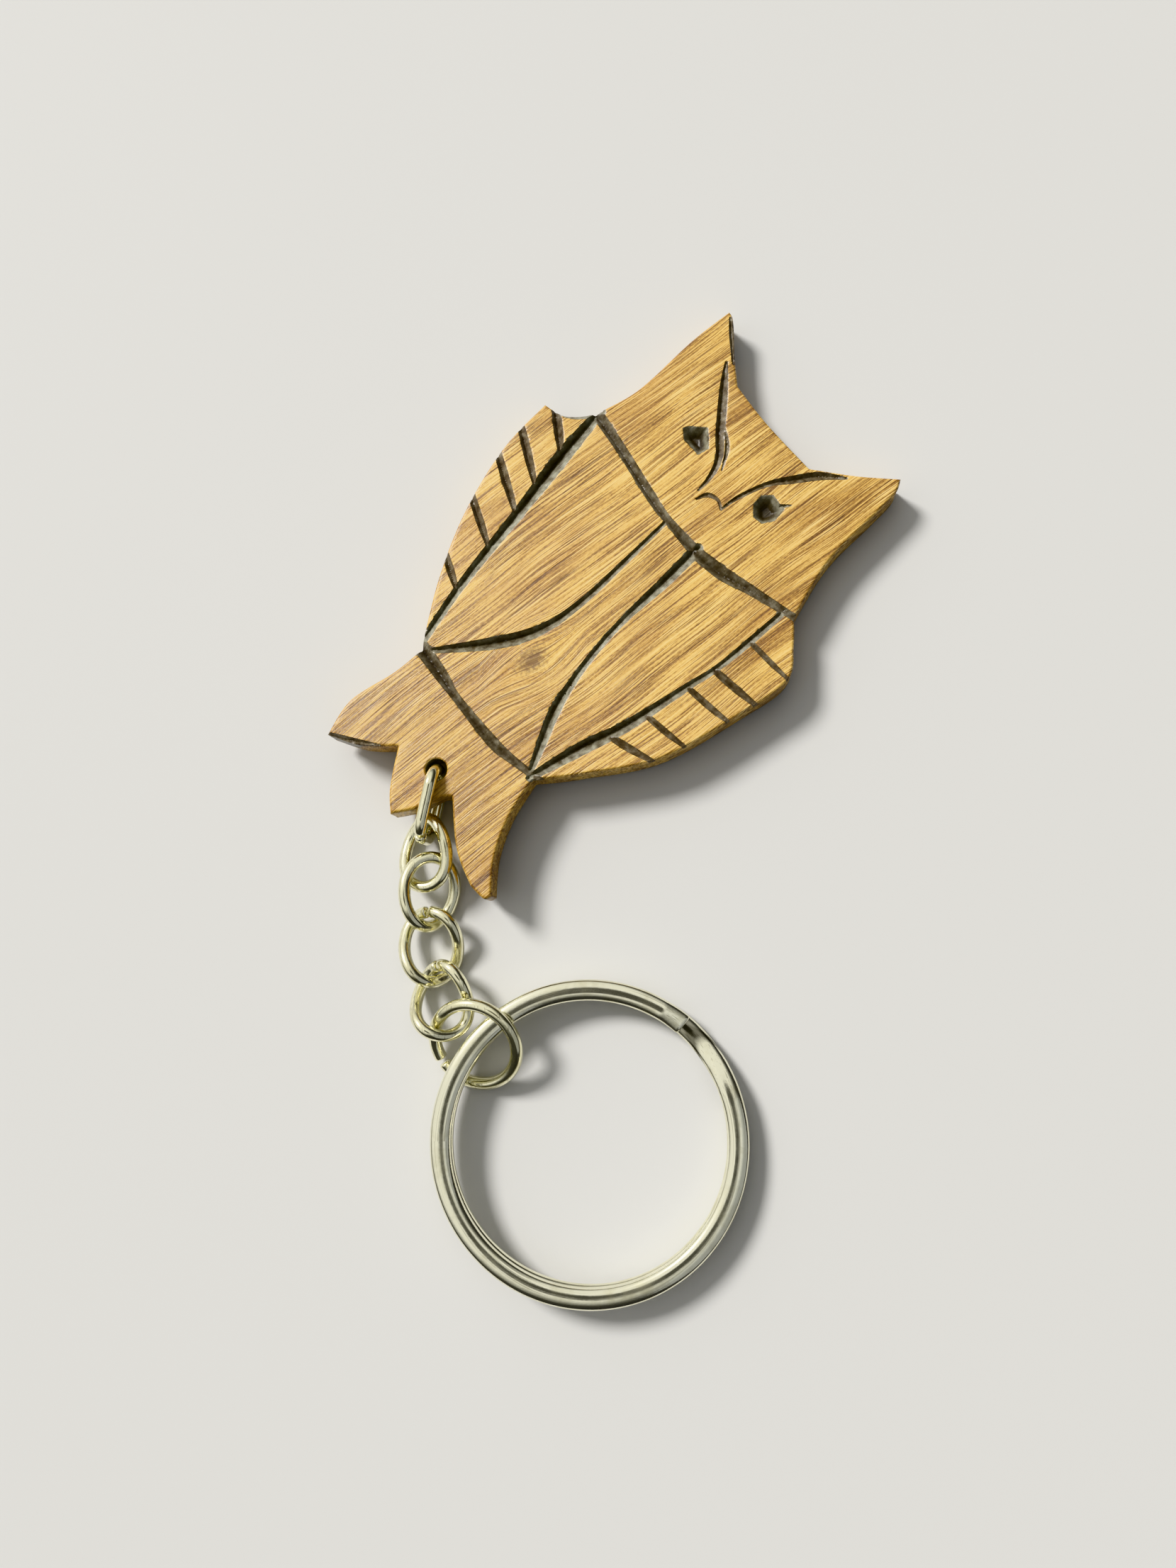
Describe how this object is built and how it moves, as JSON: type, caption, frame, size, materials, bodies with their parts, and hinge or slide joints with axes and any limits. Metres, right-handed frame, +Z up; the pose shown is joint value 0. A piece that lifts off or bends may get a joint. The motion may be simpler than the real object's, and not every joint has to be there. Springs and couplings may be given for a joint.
{
  "type": "keychain",
  "caption": "Flat carved wooden owl charm on a short curb chain of open wire links, with a jump ring and a double-coil split ring for keys.",
  "frame": {"origin": "middle of the footprint, at the level the keychain lies on", "axes": "+Y along the keychain from the split ring to the owl, +Z up out of the owl's carved face"},
  "size_m": [0.0562, 0.0966, 0.0063],
  "materials": {
    "carved_wood": "fine-grained light hardwood under satin varnish, V cuts stained dark grey",
    "chain_nickel": "warm nickel plate, tumbled bright",
    "ring_nickel": "nickel plate with fine handling scratches"
  },
  "bodies": {
    "owl_charm": {"owl_charm": "carved_wood"},
    "chain_link_1": {"chain_link_1": "chain_nickel"},
    "chain_link_2": {"chain_link_2": "chain_nickel"},
    "chain_link_3": {"chain_link_3": "chain_nickel"},
    "chain_link_4": {"chain_link_4": "chain_nickel"},
    "chain_link_5": {"chain_link_5": "chain_nickel"},
    "jump_ring": {"jump_ring": "chain_nickel"},
    "split_ring": {"split_ring": "ring_nickel"}
  },
  "joints": [
    {"name": "link_1_swivel", "type": "hinge", "parent": "owl_charm", "child": "chain_link_1", "pos_m": [-0.01719, 0.00189, 0.0031], "axis": [0, 0, 1], "range_deg": [-3, 3]},
    {"name": "link_2_swing", "type": "hinge", "parent": "chain_link_1", "child": "chain_link_2", "pos_m": [-0.0188, -0.00551, 0.00328], "axis": [0.5906, -0.1019, -0.8005], "range_deg": [-24, 24]},
    {"name": "link_3_swing", "type": "hinge", "parent": "chain_link_2", "child": "chain_link_3", "pos_m": [-0.01833, -0.00877, 0.00277], "axis": [0.5398, 0.042, 0.8407], "range_deg": [-24, 24]},
    {"name": "link_4_swing", "type": "hinge", "parent": "chain_link_3", "child": "chain_link_4", "pos_m": [-0.01859, -0.01314, 0.00311], "axis": [0.2049, 0.019, -0.9786], "range_deg": [-24, 24]},
    {"name": "link_5_swing", "type": "hinge", "parent": "chain_link_4", "child": "chain_link_5", "pos_m": [-0.01759, -0.0184, 0.00225], "axis": [-0.3959, 0.055, 0.9167], "range_deg": [-24, 24]},
    {"name": "jump_ring_swing", "type": "hinge", "parent": "chain_link_5", "child": "jump_ring", "pos_m": [-0.01655, -0.02209, 0.00313], "axis": [-0.3309, 0.114, -0.9368], "range_deg": [-24, 24]},
    {"name": "split_ring_turn", "type": "hinge", "parent": "jump_ring", "child": "split_ring", "pos_m": [-0.00244, -0.03325, 0.00213], "axis": [0.0506, 0.0192, 0.9985], "continuous": true}
  ]
}
